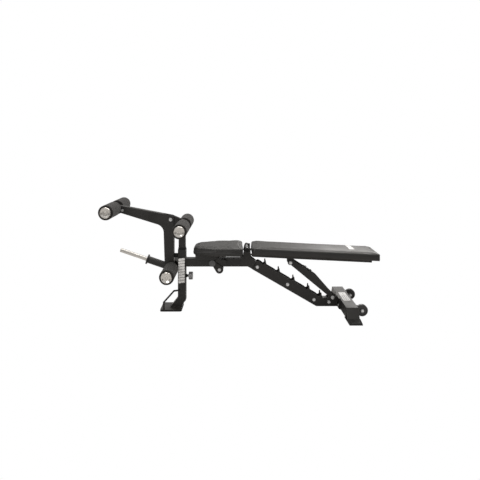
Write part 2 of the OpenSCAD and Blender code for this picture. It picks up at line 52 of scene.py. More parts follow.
# ---- Studio ----
# A pale floor and soft boxes overhead and at both sides. The camera stands square to the bench's right side,
# above its pads. The floor and sky look white to the camera, and a mid grey to everything else.
camera = bpy.data.objects.new("camera", bpy.data.cameras.new("camera"))
camera.data.lens = 36.953
camera.data.sensor_width = 36
camera.data.shift_y = -0.1933
camera.location = (0.4586, -3.4483, 1.1226)
camera.rotation_euler = (math.radians(90), 0, math.radians(-0.252))
scene.collection.objects.link(camera)
scene.camera = camera
scene.view_settings.view_transform = "Standard"


def soft_box(name, place, aim, size, power):
    """Adds a rectangular soft box at place, pointing at aim."""
    light = bpy.data.lights.new(name, "AREA")
    light.shape = "RECTANGLE"
    light.size, light.size_y = size
    light.energy = power
    light.color = (1, 0.975, 0.945)
    box = bpy.data.objects.new(name, light)
    box.location = place
    box.rotation_euler = (Vector(aim) - Vector(place)).to_track_quat("-Z", "Y").to_euler()
    scene.collection.objects.link(box)


soft_box("overhead_box", (0.5, 0.3, 3.2), (0.5, 0, 0), (3.4, 2.0), 62)
soft_box("front_box", (-1.8, -3.6, 2.2), (0.2, 0, 0.3), (1.6, 1.6), 34)
soft_box("rear_box", (2.6, 3.4, 2.4), (0.6, 0, 0.3), (2.4, 1.6), 40)


def white_to_camera(tree, output, seen, unseen):
    """Joins two shaders so that the camera sees one and every other ray meets the other."""
    path = tree.nodes.new("ShaderNodeLightPath")
    mix = tree.nodes.new("ShaderNodeMixShader")
    tree.links.new(path.outputs["Is Camera Ray"], mix.inputs[0])
    tree.links.new(unseen.outputs[0], mix.inputs[1])
    tree.links.new(seen.outputs[0], mix.inputs[2])
    tree.links.new(mix.outputs[0], output.inputs["Surface"])


world = bpy.data.worlds.new("studio")
world.use_nodes = True
scene.world = world
sky = world.node_tree.nodes
sky_seen = sky.new("ShaderNodeBackground")
sky_seen.inputs["Color"].default_value = (1, 1, 1, 1)
sky_seen.inputs["Strength"].default_value = 1.0
sky_unseen = sky["Background"]
sky_unseen.inputs["Strength"].default_value = 0.62
looked = sky.new("ShaderNodeSeparateXYZ")
climb = sky.new("ShaderNodeValToRGB")
climb.color_ramp.elements[0].position, climb.color_ramp.elements[0].color = 0.0, (0.16, 0.155, 0.15, 1)
climb.color_ramp.elements[1].position, climb.color_ramp.elements[1].color = 0.34, (1.1, 1.08, 1.05, 1)
world.node_tree.links.new(sky.new("ShaderNodeTexCoord").outputs["Generated"], looked.inputs[0])
world.node_tree.links.new(looked.outputs["Z"], climb.inputs[0])
world.node_tree.links.new(climb.outputs[0], sky_unseen.inputs["Color"])
white_to_camera(world.node_tree, sky["World Output"], sky_seen, sky_unseen)

bpy.ops.mesh.primitive_plane_add(size=120)
floor = bpy.context.object
floor.name = "studio_floor"
floor_paint = bpy.data.materials.new("studio_floor")
floor_paint.use_nodes = True
floor_nodes = floor_paint.node_tree.nodes
floor_seen = floor_nodes.new("ShaderNodeEmission")
floor_seen.inputs["Strength"].default_value = 1.0
floor_matt = floor_nodes.new("ShaderNodeBsdfDiffuse")
floor_matt.inputs["Color"].default_value = (0.6, 0.59, 0.58, 1)
white_to_camera(floor_paint.node_tree, floor_nodes["Material Output"], floor_seen, floor_matt)
floor.data.materials.append(floor_paint)

# ---- Welded steel frame ----
# Square tube and laser-cut plate, welded up and powder coated a fine-textured satin black. The coat has a
# painted highlight a little brighter along its edges, and painted top light a little lighter on the faces
# that look up.


def group_tree(name, inputs, outputs):
    """Starts a shader group. Each input is (name, value) and each output is (name, socket type)."""
    tree = bpy.data.node_groups.new(name, "ShaderNodeTree")
    for label, value in inputs:
        kind = "NodeSocketColor" if isinstance(value, tuple) else "NodeSocketFloat"
        tree.interface.new_socket(label, in_out="INPUT", socket_type=kind).default_value = value
    for label, kind in outputs:
        tree.interface.new_socket(label, in_out="OUTPUT", socket_type=kind)
    return tree, tree.nodes.new("NodeGroupInput").outputs, tree.nodes.new("NodeGroupOutput").inputs


def wired(tree, kind, inputs, **settings):
    """Adds a node, sets its properties, and sets or links its inputs by name or number."""
    node = tree.nodes.new(kind)
    for label, value in settings.items():
        setattr(node, label, value)
    for label, value in inputs.items():
        if isinstance(value, bpy.types.NodeSocket):
            tree.links.new(value, node.inputs[label])
        else:
            node.inputs[label].default_value = value
    return node


def ramp(tree, value, low, high, out_low, out_high):
    """A smooth step of value from low to high, put out between out_low and out_high."""
    step = wired(tree, "ShaderNodeMapRange", {"Value": value, "From Min": low, "From Max": high,
                                              "To Min": out_low, "To Max": out_high})
    step.interpolation_type = "SMOOTHSTEP"
    return step.outputs[0]


# Uneven colour and gloss in broad patches, with a fine grain for bump
mottle, given, gives = group_tree(
    "mottle",
    [("Dark", (0, 0, 0, 1)), ("Light", (1, 1, 1, 1)), ("Smooth", 0.3), ("Rough", 0.5), ("Patch Scale", 6.0),
     ("Grain Scale", 900.0)],
    [("Color", "NodeSocketColor"), ("Roughness", "NodeSocketFloat"), ("Grain", "NodeSocketFloat")])
place = mottle.nodes.new("ShaderNodeTexCoord").outputs["Object"]
patches = wired(mottle, "ShaderNodeTexNoise", {"Vector": place, "Scale": given["Patch Scale"], "Detail": 6.0})
share = ramp(mottle, patches.outputs[0], 0.35, 0.65, 0.0, 1.0)
blend = wired(mottle, "ShaderNodeMix", {0: share, 6: given["Dark"], 7: given["Light"]}, data_type="RGBA")
gloss = wired(mottle, "ShaderNodeMix", {0: share, 2: given["Smooth"], 3: given["Rough"]}, data_type="FLOAT")
grains = wired(mottle, "ShaderNodeTexNoise", {"Vector": place, "Scale": given["Grain Scale"], "Detail": 3.0})
mottle.links.new(blend.outputs[2], gives["Color"])
mottle.links.new(gloss.outputs[0], gives["Roughness"])
mottle.links.new(grains.outputs[0], gives["Grain"])

# Rounded-over edges, and a broken mask along them that carries a painted edge highlight
edge_round_and_highlight, given, gives = group_tree(
    "edges_rounded_and_highlighted",
    [("Radius", 0.0015), ("Break Scale", 60.0)],
    [("Mask", "NodeSocketFloat"), ("Normal", "NodeSocketVector")])
softened = wired(edge_round_and_highlight, "ShaderNodeBevel", {"Radius": given["Radius"]}, samples=4)
flat = edge_round_and_highlight.nodes.new("ShaderNodeNewGeometry").outputs["Normal"]
facing = wired(edge_round_and_highlight, "ShaderNodeVectorMath", {0: softened.outputs[0], 1: flat}, operation="DOT_PRODUCT")
edge = ramp(edge_round_and_highlight, facing.outputs["Value"], 0.995, 0.9, 0.0, 1.0)
place = edge_round_and_highlight.nodes.new("ShaderNodeTexCoord").outputs["Object"]
broken = wired(edge_round_and_highlight, "ShaderNodeTexNoise", {"Vector": place, "Scale": given["Break Scale"], "Detail": 4.0})
kept = ramp(edge_round_and_highlight, broken.outputs[0], 0.45, 0.7, 0.0, 1.0)
mask = wired(edge_round_and_highlight, "ShaderNodeMath", {0: edge, 1: kept}, operation="MULTIPLY")
edge_round_and_highlight.links.new(mask.outputs[0], gives["Mask"])
edge_round_and_highlight.links.new(softened.outputs[0], gives["Normal"])

# Painted top light: a lighter film, broken up by clouds, where a surface looks up
top_lit, given, gives = group_tree(
    "painted_top_light", [("Amount", 0.3), ("Cloud Scale", 9.0)], [("Mask", "NodeSocketFloat")])
looks = wired(top_lit, "ShaderNodeSeparateXYZ",
              {0: top_lit.nodes.new("ShaderNodeNewGeometry").outputs["Normal"]}).outputs["Z"]
place = top_lit.nodes.new("ShaderNodeTexCoord").outputs["Object"]
clouds = wired(top_lit, "ShaderNodeTexNoise", {"Vector": place, "Scale": given["Cloud Scale"], "Detail": 8.0})
upward = ramp(top_lit, looks, 0.5, 1.0, 0.0, 1.0)
cloudy = wired(top_lit, "ShaderNodeMath", {0: upward, 1: clouds.outputs[0]}, operation="MULTIPLY")
top_light = wired(top_lit, "ShaderNodeMath", {0: cloudy.outputs[0], 1: given["Amount"]}, operation="MULTIPLY")
top_lit.links.new(top_light.outputs[0], gives["Mask"])


def finish(name, dark, light, gloss, patch=6.0, grain=900.0, bump=0.15, depth=0.0002, **constants):
    """Starts a material: mottled colour and gloss, a fine bump, and constants set on the shader itself."""
    paint = bpy.data.materials.new(name)
    paint.use_nodes = True
    tree = paint.node_tree
    shader = tree.nodes["Principled BSDF"]
    for label, value in constants.items():
        shader.inputs[label.replace("_", " ")].default_value = value
    spots = wired(tree, "ShaderNodeGroup", {}, node_tree=mottle)
    for label, value in (("Dark", (*dark, 1)), ("Light", (*light, 1)), ("Smooth", gloss[0]),
                         ("Rough", gloss[1]), ("Patch Scale", patch), ("Grain Scale", grain)):
        spots.inputs[label].default_value = value
    relief = wired(tree, "ShaderNodeBump",
                   {"Strength": bump, "Distance": depth, "Height": spots.outputs["Grain"]})
    tree.links.new(spots.outputs["Color"], shader.inputs["Base Color"])
    tree.links.new(spots.outputs["Roughness"], shader.inputs["Roughness"])
    tree.links.new(relief.outputs[0], shader.inputs["Normal"])
    return paint, tree, shader, spots, relief


def tinted(tree, mask, below, above):
    """Mixes the colour or value above over the one below by a mask."""
    colour = not isinstance(above, float)
    sockets = (6, 7, 2) if colour else (2, 3, 0)
    kind = "RGBA" if colour else "FLOAT"
    mix = wired(tree, "ShaderNodeMix", {0: mask, sockets[0]: below, sockets[1]: above}, data_type=kind)
    return mix.outputs[sockets[2]]


def paint_edge_and_top_light(tree, shader, spots, relief, edge_highlight_colour, top_light_colour, edge_radius=0.0015, amount=0.3):
    """Adds rounded edges with a painted highlight along them in the first colour, and painted top light on
    faces that look up in the second, to a finish.
    """
    edges = wired(tree, "ShaderNodeGroup", {"Radius": edge_radius}, node_tree=edge_round_and_highlight)
    top_light = wired(tree, "ShaderNodeGroup", {"Amount": amount}, node_tree=top_lit)
    edge_highlighted = tinted(tree, edges.outputs["Mask"], spots.outputs["Color"], (*edge_highlight_colour, 1))
    polished = tinted(tree, edges.outputs["Mask"], spots.outputs["Roughness"], 0.3)
    tree.links.new(tinted(tree, top_light.outputs[0], edge_highlighted, (*top_light_colour, 1)), shader.inputs["Base Color"])
    tree.links.new(polished, shader.inputs["Roughness"])
    tree.links.new(edges.outputs["Normal"], relief.inputs["Normal"])


powder_coat, *parts = finish("powder_coat", (0.0066, 0.0058, 0.0052), (0.012, 0.0108, 0.0098), (0.34, 0.46),
                             grain=1400.0, bump=0.35, Specular_IOR_Level=0.5)
paint_edge_and_top_light(*parts, (0.05, 0.048, 0.046), (0.09, 0.083, 0.076), amount=0.25)


def coat(paint, *nodes):
    """Gives CAD nodes a material."""
    for name in nodes:
        frame["nodes"][name].data.materials.clear()
        frame["nodes"][name].data.materials.append(paint)


slot_of = {row["node"]: row["material_slot"] for row in frame["record"]["subparts"]}


def in_slot(slot):
    return [name for name, its_slot in slot_of.items() if its_slot == slot]


coat(powder_coat, *in_slot("frame_steel"))

# ---- Weld beads ----
# Every tube and plate joint is closed by a short-arc weld under the powder coat: overlapping round beads laid
# along the joint, a little uneven in size.


def path_tree(name, shape):
    """A tree that lays solids along a path: beads or thread from spheres, staples and ribs from cubes."""
    tree = bpy.data.node_groups.new(name, "GeometryNodeTree")
    face = tree.interface
    face.new_socket("Path", in_out="INPUT", socket_type="NodeSocketGeometry")
    for label in ("Spacing", "Length", "Width", "Height", "Unevenness"):
        face.new_socket(label, in_out="INPUT", socket_type="NodeSocketFloat")
    face.new_socket("Seed", in_out="INPUT", socket_type="NodeSocketInt")
    face.new_socket("Material", in_out="INPUT", socket_type="NodeSocketMaterial")
    face.new_socket("Solids", in_out="OUTPUT", socket_type="NodeSocketGeometry")
    given = tree.nodes.new("NodeGroupInput").outputs
    line = wired(tree, "GeometryNodeMeshToCurve", {"Mesh": given["Path"]})
    points = wired(tree, "GeometryNodeCurveToPoints", {"Curve": line.outputs[0], "Length": given["Spacing"]},
                   mode="LENGTH")
    turned = wired(tree, "FunctionNodeAlignRotationToVector", {"Vector": points.outputs["Tangent"]}, axis="X")
    size = wired(tree, "ShaderNodeCombineXYZ",
                 {"X": given["Length"], "Y": given["Width"], "Z": given["Height"]})
    least = wired(tree, "ShaderNodeMath", {0: 1.0, 1: given["Unevenness"]}, operation="SUBTRACT")
    most = wired(tree, "ShaderNodeMath", {0: 1.0, 1: given["Unevenness"]}, operation="ADD")
    uneven = wired(tree, "FunctionNodeRandomValue",
                   {2: least.outputs[0], 3: most.outputs[0], "Seed": given["Seed"]})
    scaled = wired(tree, "ShaderNodeVectorMath", {0: size.outputs[0], "Scale": uneven.outputs[1]},
                   operation="SCALE")
    if shape == "bead":
        solid = wired(tree, "GeometryNodeMeshIcoSphere", {"Radius": 0.5, "Subdivisions": 2}).outputs["Mesh"]
    elif shape == "thread":
        solid = wired(tree, "GeometryNodeMeshIcoSphere", {"Radius": 0.5, "Subdivisions": 1}).outputs["Mesh"]
    else:
        solid = wired(tree, "GeometryNodeMeshCube", {"Size": (1, 1, 1)}).outputs["Mesh"]
    laid = wired(tree, "GeometryNodeInstanceOnPoints",
                 {"Points": points.outputs["Points"], "Instance": solid, "Rotation": turned.outputs[0],
                  "Scale": scaled.outputs[0]})
    real = wired(tree, "GeometryNodeRealizeInstances", {"Geometry": laid.outputs[0]})
    smooth = wired(tree, "GeometryNodeSetShadeSmooth",
                   {"Geometry": real.outputs[0], "Shade Smooth": shape != "bar"})
    painted = wired(tree, "GeometryNodeSetMaterial",
                    {"Geometry": smooth.outputs[0], "Material": given["Material"]})
    tree.links.new(painted.outputs[0], tree.nodes.new("NodeGroupOutput").inputs[0])
    return tree


def mesh_piece(name, points, faces, paint=None, edges=(), smooth=False):
    """Makes a mesh object at the origin from points in the frame's own metres."""
    mesh = bpy.data.meshes.new(name)
    mesh.from_pydata([tuple(p) for p in points], list(edges), faces)
    mesh.validate()
    piece = bpy.data.objects.new(name, mesh)
    scene.collection.objects.link(piece)
    if paint:
        mesh.materials.append(paint)
    for face in mesh.polygons:
        face.use_smooth = smooth
    return piece


def grown(name, base, tree, values):
    """Runs a tree on a base mesh and returns its result as a plain mesh object."""
    modifier = base.modifiers.new("growth", "NODES")
    modifier.node_group = tree
    for item in tree.interface.items_tree:
        if item.item_type == "SOCKET" and item.in_out == "INPUT" and item.name in values:
            modifier[item.identifier] = values[item.name]
    bpy.context.view_layer.update()
    evaluated = base.evaluated_get(bpy.context.evaluated_depsgraph_get())
    mesh = bpy.data.meshes.new_from_object(evaluated)
    mesh.name = name
    bpy.data.objects.remove(base)
    piece = bpy.data.objects.new(name, mesh)
    scene.collection.objects.link(piece)
    return piece


def path_base(paths, closed):
    """A mesh of bare edges along each path."""
    points, edges = [], []
    for path in paths:
        first = len(points)
        points += path
        edges += [(first + i, first + i + 1) for i in range(len(path) - 1)]
        if closed:
            edges.append((first + len(path) - 1, first))
    return mesh_piece("path", points, [], edges=edges)


bead_tree = path_tree("weld_beads", "bead")


def weld(name, body, paths, closed=False):
    """Lays weld beads along paths on one body."""
    beads = grown(name, path_base(paths, closed), bead_tree,
                  {"Spacing": 0.0022, "Length": 0.0052, "Width": 0.0062, "Height": 0.0062, "Unevenness": 0.12,
                   "Seed": 5, "Material": powder_coat})
    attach(beads, body)


def ring_x(x, low_y, high_y, low_z, high_z):
    """A rectangle that stands square to the bench's length."""
    return [(x, low_y, low_z), (x, high_y, low_z), (x, high_y, high_z), (x, low_y, high_z)]


beam_low, beam_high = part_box("main_beam")
spine_low, spine_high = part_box("spine_tube")
flange_low, flange_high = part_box("rear_flange")
plate_low, plate_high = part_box("front_foot_plate")
post_low, post_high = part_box("front_post")
bracket_low, bracket_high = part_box("wheel_brackets")
lug_low, lug_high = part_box("seat_strut_lugs")
half_tube = 0.0275
kink_x, kink_z = 0.0975, 0.06
lean = math.tan(math.radians(39))
post_foot = [post_low.x, kink_x - (kink_z - plate_high.z) * lean]
rod_x, rod_y, rod_radius = -0.049, -0.07, 0.006
weld("frame_welds", "frame", [
    ring_x(beam_low.x, beam_low.y, beam_high.y, beam_low.z, beam_high.z),
    ring_x(flange_low.x, spine_low.y, spine_high.y, spine_low.z, spine_low.z + 2 * half_tube),
    ring_x(flange_high.x, flange_low.y, flange_high.y, flange_low.z, 0.0785),
    [(post_foot[0], -half_tube, plate_high.z), (post_foot[1], -half_tube, plate_high.z),
     (post_foot[1], half_tube, plate_high.z), (post_foot[0], half_tube, plate_high.z)],
    [(rod_x + rod_radius * math.cos(a), rod_y + rod_radius * math.sin(a), plate_high.z)
     for a in (math.tau * i / 12 for i in range(12))]], closed=True)
seam_pairs = [((0.479, beam_high.z), (0.497, beam_high.z)),
              ((0.545, beam_high.z), (0.556, beam_high.z - 0.006))]
weld("frame_stitch_welds", "frame",
     [[(a[0], side * half_tube, a[1]), (b[0], side * half_tube, b[1])]
      for side in (-1, 1) for a, b in seam_pairs]
     + [[(x, side * y, lug_high.z), (x + 0.052, side * y, lug_high.z)]
        for side in (-1, 1) for x, y in ((lug_low.x, 0.014), (lug_low.x, 0.0205))]
     + [[(bracket_low.x, side * y, 0.017), (bracket_low.x, side * y, 0.069)]
        for side in (-1, 1) for y in (0.154, 0.162)]
     + [[(0.046, -0.0295, 0.125), (0.052, -0.0295, 0.139)]])

# ---- Rubber feet, buffers and seals ----
# Moulded black rubber: the pad under the front foot, the two flared rear feet, the axle's end caps, the
# buffers on the lever and the strut, and the lock pin's barrel. Fine flow marks, matt, with a paler painted
# highlight along edges and paler painted top light on faces that look up.
rubber, *parts = finish("moulded_rubber", (0.004, 0.004, 0.004), (0.009, 0.009, 0.0088), (0.55, 0.72),
                        patch=14.0, grain=500.0, bump=0.3, depth=0.0003, Specular_IOR_Level=0.22)
paint_edge_and_top_light(*parts, (0.03, 0.029, 0.028), (0.08, 0.076, 0.072), edge_radius=0.0025, amount=0.16)
coat(rubber, *in_slot("black_rubber"))

bar_tree = path_tree("rows_of_bars", "bar")


def bars(name, body, paths, paint, spacing, size, unevenness=0.0, closed=False):
    """Lays straight bars along paths on one body."""
    made = grown(name, path_base(paths, closed), bar_tree,
                 {"Spacing": spacing, "Length": size[0], "Width": size[1], "Height": size[2],
                  "Unevenness": unevenness, "Seed": 3, "Material": paint})
    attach(made, body)
    return made


# Grip ribs round the rim of the front foot's pad, and across the lips of the rear feet
pad_low, pad_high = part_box("front_foot_pad")
bars("front_foot_ribs", "frame",
     [[(pad_low.x + 0.018, y, 0.0025), (pad_high.x - 0.018, y, 0.0025)] for y in (pad_low.y, pad_high.y)],
     rubber, 0.006, (0.0028, 0.0016, 0.0036))
foot_low, foot_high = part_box("rear_foot_left")
bars("rear_foot_ribs", "frame",
     [[(x, side * (foot_high.y - 0.0005), 0.0021) for x in (foot_low.x + 0.004, foot_high.x - 0.004)]
      for side in (-1, 1)],
     rubber, 0.006, (0.0028, 0.0024, 0.003))

# Moulded guide that lines the top of the front post and tapers in to the sliding one
guide_in, guide_out, guide_top = 0.0233, 0.0272, post_high.z + 0.015
guide_x = (post_high.x + 0.0425) / 2


def square_ring(half, z, round_by=0.004):
    corners = []
    for cx, cy, start in ((1, 1, 0), (-1, 1, 90), (-1, -1, 180), (1, -1, 270)):
        for step in range(5):
            a = math.radians(start + 22.5 * step)
            corners.append((guide_x + cx * (half - round_by) + round_by * math.cos(a),
                            cy * (half - round_by) + round_by * math.sin(a), z))
    return corners


def skin(name, loops, paint, smooth=True, cap=False, joined=False):
    """Covers a stack of equal loops. The ends are capped, or joined to each other for a hollow ring."""
    count = len(loops[0])
    points = [p for loop in loops for p in loop]
    faces = []
    rows = len(loops) if joined else len(loops) - 1
    for row in range(rows):
        a, b = row * count, (row + 1) % len(loops) * count
        faces += [(a + i, a + (i + 1) % count, b + (i + 1) % count, b + i) for i in range(count)]
    if cap:
        faces += [tuple(range(count))[::-1], tuple(range(len(points) - count, len(points)))]
    piece = mesh_piece(name, points, faces, paint, smooth=smooth)
    outward(piece)
    return piece


def outward(piece):
    """Turns a closed mesh's faces outwards."""
    shell = bmesh.new()
    shell.from_mesh(piece.data)
    bmesh.ops.remove_doubles(shell, verts=shell.verts, dist=1e-7)
    bmesh.ops.recalc_face_normals(shell, faces=shell.faces)
    shell.to_mesh(piece.data)
    shell.free()


post_guide = skin("post_guide", [square_ring(guide_in, post_high.z), square_ring(guide_out, post_high.z),
                                 square_ring(guide_out, post_high.z + 0.002),
                                 square_ring(guide_in + 0.0012, guide_top), square_ring(guide_in, guide_top)],
                  rubber, smooth=False, joined=True)
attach(post_guide, "frame")

# ---- Bolts, axles and roller bars ----
# Zinc-plated steel with the faint streaks and clouding of the plating. The axle and bolts run in plain bores.
zinc, *parts = finish("zinc_plate", (0.56, 0.57, 0.58), (0.74, 0.75, 0.76), (0.16, 0.34), patch=45.0,
                      grain=260.0, bump=0.06, depth=0.0001, Metallic=1.0)
# Brighter painted highlight along the edges, and painted top light on faces that look up
paint_edge_and_top_light(*parts, (0.8, 0.8, 0.8), (0.5, 0.49, 0.47), edge_radius=0.0006, amount=0.1)
coat(zinc, *in_slot("zinc"))

# ---- Chromed caps and weight horn ----
# Bright chrome on dished end caps and on the horn's bar, with hair-fine wiping marks round the bar.
chrome = bpy.data.materials.new("bright_chrome")
chrome.use_nodes = True
tree = chrome.node_tree
shader = tree.nodes["Principled BSDF"]
shader.inputs["Metallic"].default_value = 1.0
marks = wired(tree, "ShaderNodeGroup",
              {"Dark": (0.6, 0.58, 0.55, 1), "Light": (0.68, 0.66, 0.63, 1), "Smooth": 0.05, "Rough": 0.16,
               "Patch Scale": 30.0, "Grain Scale": 700.0}, node_tree=mottle)
tree.links.new(marks.outputs["Color"], shader.inputs["Base Color"])
tree.links.new(marks.outputs["Roughness"], shader.inputs["Roughness"])
wiping = wired(tree, "ShaderNodeBump",
               {"Strength": 0.04, "Distance": 0.0001, "Height": marks.outputs["Grain"]})
softened = wired(tree, "ShaderNodeGroup", {"Radius": 0.0008}, node_tree=edge_round_and_highlight)
tree.links.new(softened.outputs["Normal"], wiping.inputs["Normal"])
tree.links.new(wiping.outputs[0], shader.inputs["Normal"])
coat(chrome, *in_slot("chrome"))

# ---- Foam rollers ----
# Six rollers of closed-cell foam sleeve over a plastic tube. The foam is a matt, slightly mottled dark grey
# with rounded ends.
foam, tree, shader, spots, relief = finish(
    "closed_cell_foam", (0.0125, 0.0112, 0.0104), (0.023, 0.0206, 0.0192), (0.78, 0.92), patch=38.0,
    grain=320.0, bump=0.5, depth=0.0006, Specular_IOR_Level=0.3, Sheen_Weight=0.12, Sheen_Roughness=0.5)
cells = wired(tree, "ShaderNodeTexVoronoi", {"Vector": tree.nodes.new("ShaderNodeTexCoord").outputs["Object"],
                                             "Scale": 650.0})
pores = wired(tree, "ShaderNodeBump",
              {"Strength": 0.35, "Distance": 0.0005, "Height": cells.outputs["Distance"],
               "Normal": relief.outputs[0]})
tree.links.new(pores.outputs[0], shader.inputs["Normal"])
sleeve_plastic = finish("sleeve_plastic", (0.012, 0.012, 0.012), (0.02, 0.02, 0.02), (0.3, 0.4), grain=300.0,
                        bump=0.1)[0]


def turned(name, profile, centre, paint, segments=72, wobble=0.0):
    """Turns a closed profile of (y, radius) points about a line across the bench through centre."""
    loops = []
    for y, radius in profile:
        loop = []
        for i in range(segments):
            a = math.tau * i / segments
            swell = wobble * noise.noise((3 * math.cos(a), 3 * math.sin(a), 14 * y)) if wobble else 0
            reach = radius + swell
            loop.append((centre[0] + reach * math.cos(a), y, centre[1] + reach * math.sin(a)))
        loops.append(loop)
    return skin(name, loops, paint, joined=True)


def middle(node):
    low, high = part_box(node)
    return (low.x + high.x) / 2, (low.z + high.z) / 2


for station in ("knee", "curl", "ankle"):
    for side in ("left", "right"):
        node = f"{station}_roller_{side}"
        low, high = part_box(node)
        centre = middle(node)
        radius = (high.z - low.z) / 2
        inner, outer = low.y + 0.0002, high.y - 0.0002
        bore, lip, skim = 0.0155, 0.007, 0.0006
        corner = [(lip * (1 - math.cos(math.radians(a))),
                   radius - skim - lip * (1 - math.sin(math.radians(a)))) for a in range(0, 91, 15)]
        sleeve = [(inner, bore), (inner, radius * 0.55), (inner + 0.0002, radius - lip - 0.003)]
        sleeve += [(inner + dy, r) for dy, r in corner]
        sleeve += [(inner + (outer - inner) * i / 24, radius - skim) for i in range(2, 23)]
        sleeve += [(outer - dy, r) for dy, r in reversed(corner)]
        sleeve += [(outer - 0.0002, radius - lip - 0.003), (outer, radius * 0.55), (outer, bore)]
        foam_sleeve = turned(f"{station}_foam_{side}", sleeve, centre, foam, wobble=0.0005)
        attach(foam_sleeve, node)
        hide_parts(node)
        wall = [(inner, 0.0127), (inner, 0.0153), (outer, 0.0153), (outer, 0.0127)]
        tube = turned(f"{station}_core_{side}", wall, centre, sleeve_plastic, segments=48)
        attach(tube, node)

# ---- Wheels, grips and lock knob ----
# Glossy moulded wheels, ribbed grey grips on the seat strut's pin, and a zinc-grey knob with a knurl. The
# ribs and the knurl are raised round each one.
wheel_gloss, *parts = finish("glossy_wheel", (0.005, 0.005, 0.005), (0.009, 0.009, 0.009), (0.12, 0.24),
                             patch=20.0, grain=200.0, bump=0.05, Coat_Weight=0.4, Coat_Roughness=0.08)
# Painted highlight along the wheel's edges, and painted top light on faces that look up
paint_edge_and_top_light(*parts, (0.03, 0.03, 0.03), (0.09, 0.085, 0.08), edge_radius=0.001, amount=0.25)
coat(wheel_gloss, *in_slot("wheel_plastic"))
grip_grey, *parts = finish("grip_plastic", (0.07, 0.07, 0.072), (0.11, 0.11, 0.112), (0.45, 0.6), patch=20.0,
                           grain=600.0, bump=0.3)
# Painted highlight along the grip's edges, and painted top light on faces that look up
paint_edge_and_top_light(*parts, (0.16, 0.16, 0.16), (0.2, 0.19, 0.18), edge_radius=0.001, amount=0.2)
coat(grip_grey, *in_slot("grip_plastic"))
knob_grey, *parts = finish("knob_steel", (0.2, 0.2, 0.205), (0.33, 0.33, 0.335), (0.26, 0.42), patch=60.0,
                           grain=500.0, bump=0.15, Metallic=0.9)
# Painted highlight along the knob's edges, and painted top light on faces that look up
paint_edge_and_top_light(*parts, (0.6, 0.6, 0.6), (0.3, 0.29, 0.28), edge_radius=0.0008, amount=0.1)
coat(knob_grey, *in_slot("knob_steel"))

ring_tree = bpy.data.node_groups.new("ring_of_ribs", "GeometryNodeTree")
ring_tree.interface.new_socket("Base", in_out="INPUT", socket_type="NodeSocketGeometry")
ring_tree.interface.new_socket("Count", in_out="INPUT", socket_type="NodeSocketInt")
for label in ("Radius", "Rib Width", "Rib Height", "Rib Length"):
    ring_tree.interface.new_socket(label, in_out="INPUT", socket_type="NodeSocketFloat")
ring_tree.interface.new_socket("Material", in_out="INPUT", socket_type="NodeSocketMaterial")
ring_tree.interface.new_socket("Ribs", in_out="OUTPUT", socket_type="NodeSocketGeometry")
given = ring_tree.nodes.new("NodeGroupInput").outputs
circle = wired(ring_tree, "GeometryNodeMeshCircle", {"Vertices": given["Count"], "Radius": given["Radius"]})
turn = wired(ring_tree, "ShaderNodeMath", {0: math.tau, 1: given["Count"]}, operation="DIVIDE")
index = ring_tree.nodes.new("GeometryNodeInputIndex").outputs[0]
angle = wired(ring_tree, "ShaderNodeMath", {0: index, 1: turn.outputs[0]}, operation="MULTIPLY")
spin = wired(ring_tree, "ShaderNodeCombineXYZ", {"Z": angle.outputs[0]})
rib_size = wired(ring_tree, "ShaderNodeCombineXYZ",
                 {"X": given["Rib Height"], "Y": given["Rib Width"], "Z": given["Rib Length"]})
rib = wired(ring_tree, "GeometryNodeMeshCylinder", {"Vertices": 8, "Radius": 0.5, "Depth": 1.0})
ribs = wired(ring_tree, "GeometryNodeInstanceOnPoints",
             {"Points": circle.outputs[0], "Instance": rib.outputs["Mesh"], "Rotation": spin.outputs[0],
              "Scale": rib_size.outputs[0]})
real = wired(ring_tree, "GeometryNodeRealizeInstances", {"Geometry": ribs.outputs[0]})
painted = wired(ring_tree, "GeometryNodeSetMaterial",
                {"Geometry": real.outputs[0], "Material": given["Material"]})
ring_tree.links.new(painted.outputs[0], ring_tree.nodes.new("NodeGroupOutput").inputs[0])


def ribbed(name, body, place, count, radius, rib, paint):
    """Raises ribs round a part. place turns the ring's own axis, Z, onto the part's."""
    made = grown(name, mesh_piece("base", [(0, 0, 0)], []), ring_tree,
                 {"Count": count, "Radius": radius, "Rib Width": rib[0], "Rib Height": rib[1],
                  "Rib Length": rib[2], "Material": paint})
    made.data.transform(place)
    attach(made, body)


knob_low, knob_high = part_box("lock_knob")
knob_z = (knob_low.z + knob_high.z) / 2
knob_x = knob_high.x - 0.0135
along_x = Matrix.Rotation(math.radians(90), 4, "Y")
along_y = Matrix.Rotation(math.radians(90), 4, "X")
ribbed("lock_knob_knurl", "lock_pin", Matrix.Translation((knob_x, 0, knob_z)) @ along_x, 40,
       0.026, (0.0022, 0.0018, 0.023), knob_grey)
grip_low, grip_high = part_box("seat_strut_grips")
grip_x, grip_z = middle("seat_strut_grips")
for side in ("left", "right"):
    y = 0.5 * (grip_high.y + 0.055) * (1 if side == "left" else -1)
    ribbed(f"strut_grip_ribs_{side}", "seat_strut",
           Matrix.Translation((grip_x, y, grip_z)) @ along_y, 24, 0.02, (0.003, 0.0022, 0.012), grip_grey)
    wheel = f"wheel_{side}"
    low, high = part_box(wheel)
    wheel_x, wheel_z = middle(wheel)
    ribbed(f"wheel_tread_{side}", wheel,
           Matrix.Translation((wheel_x, (low.y + high.y) / 2, wheel_z)) @ along_y, 48, 0.0378,
           (0.0014, 0.0012, 0.02), wheel_gloss)

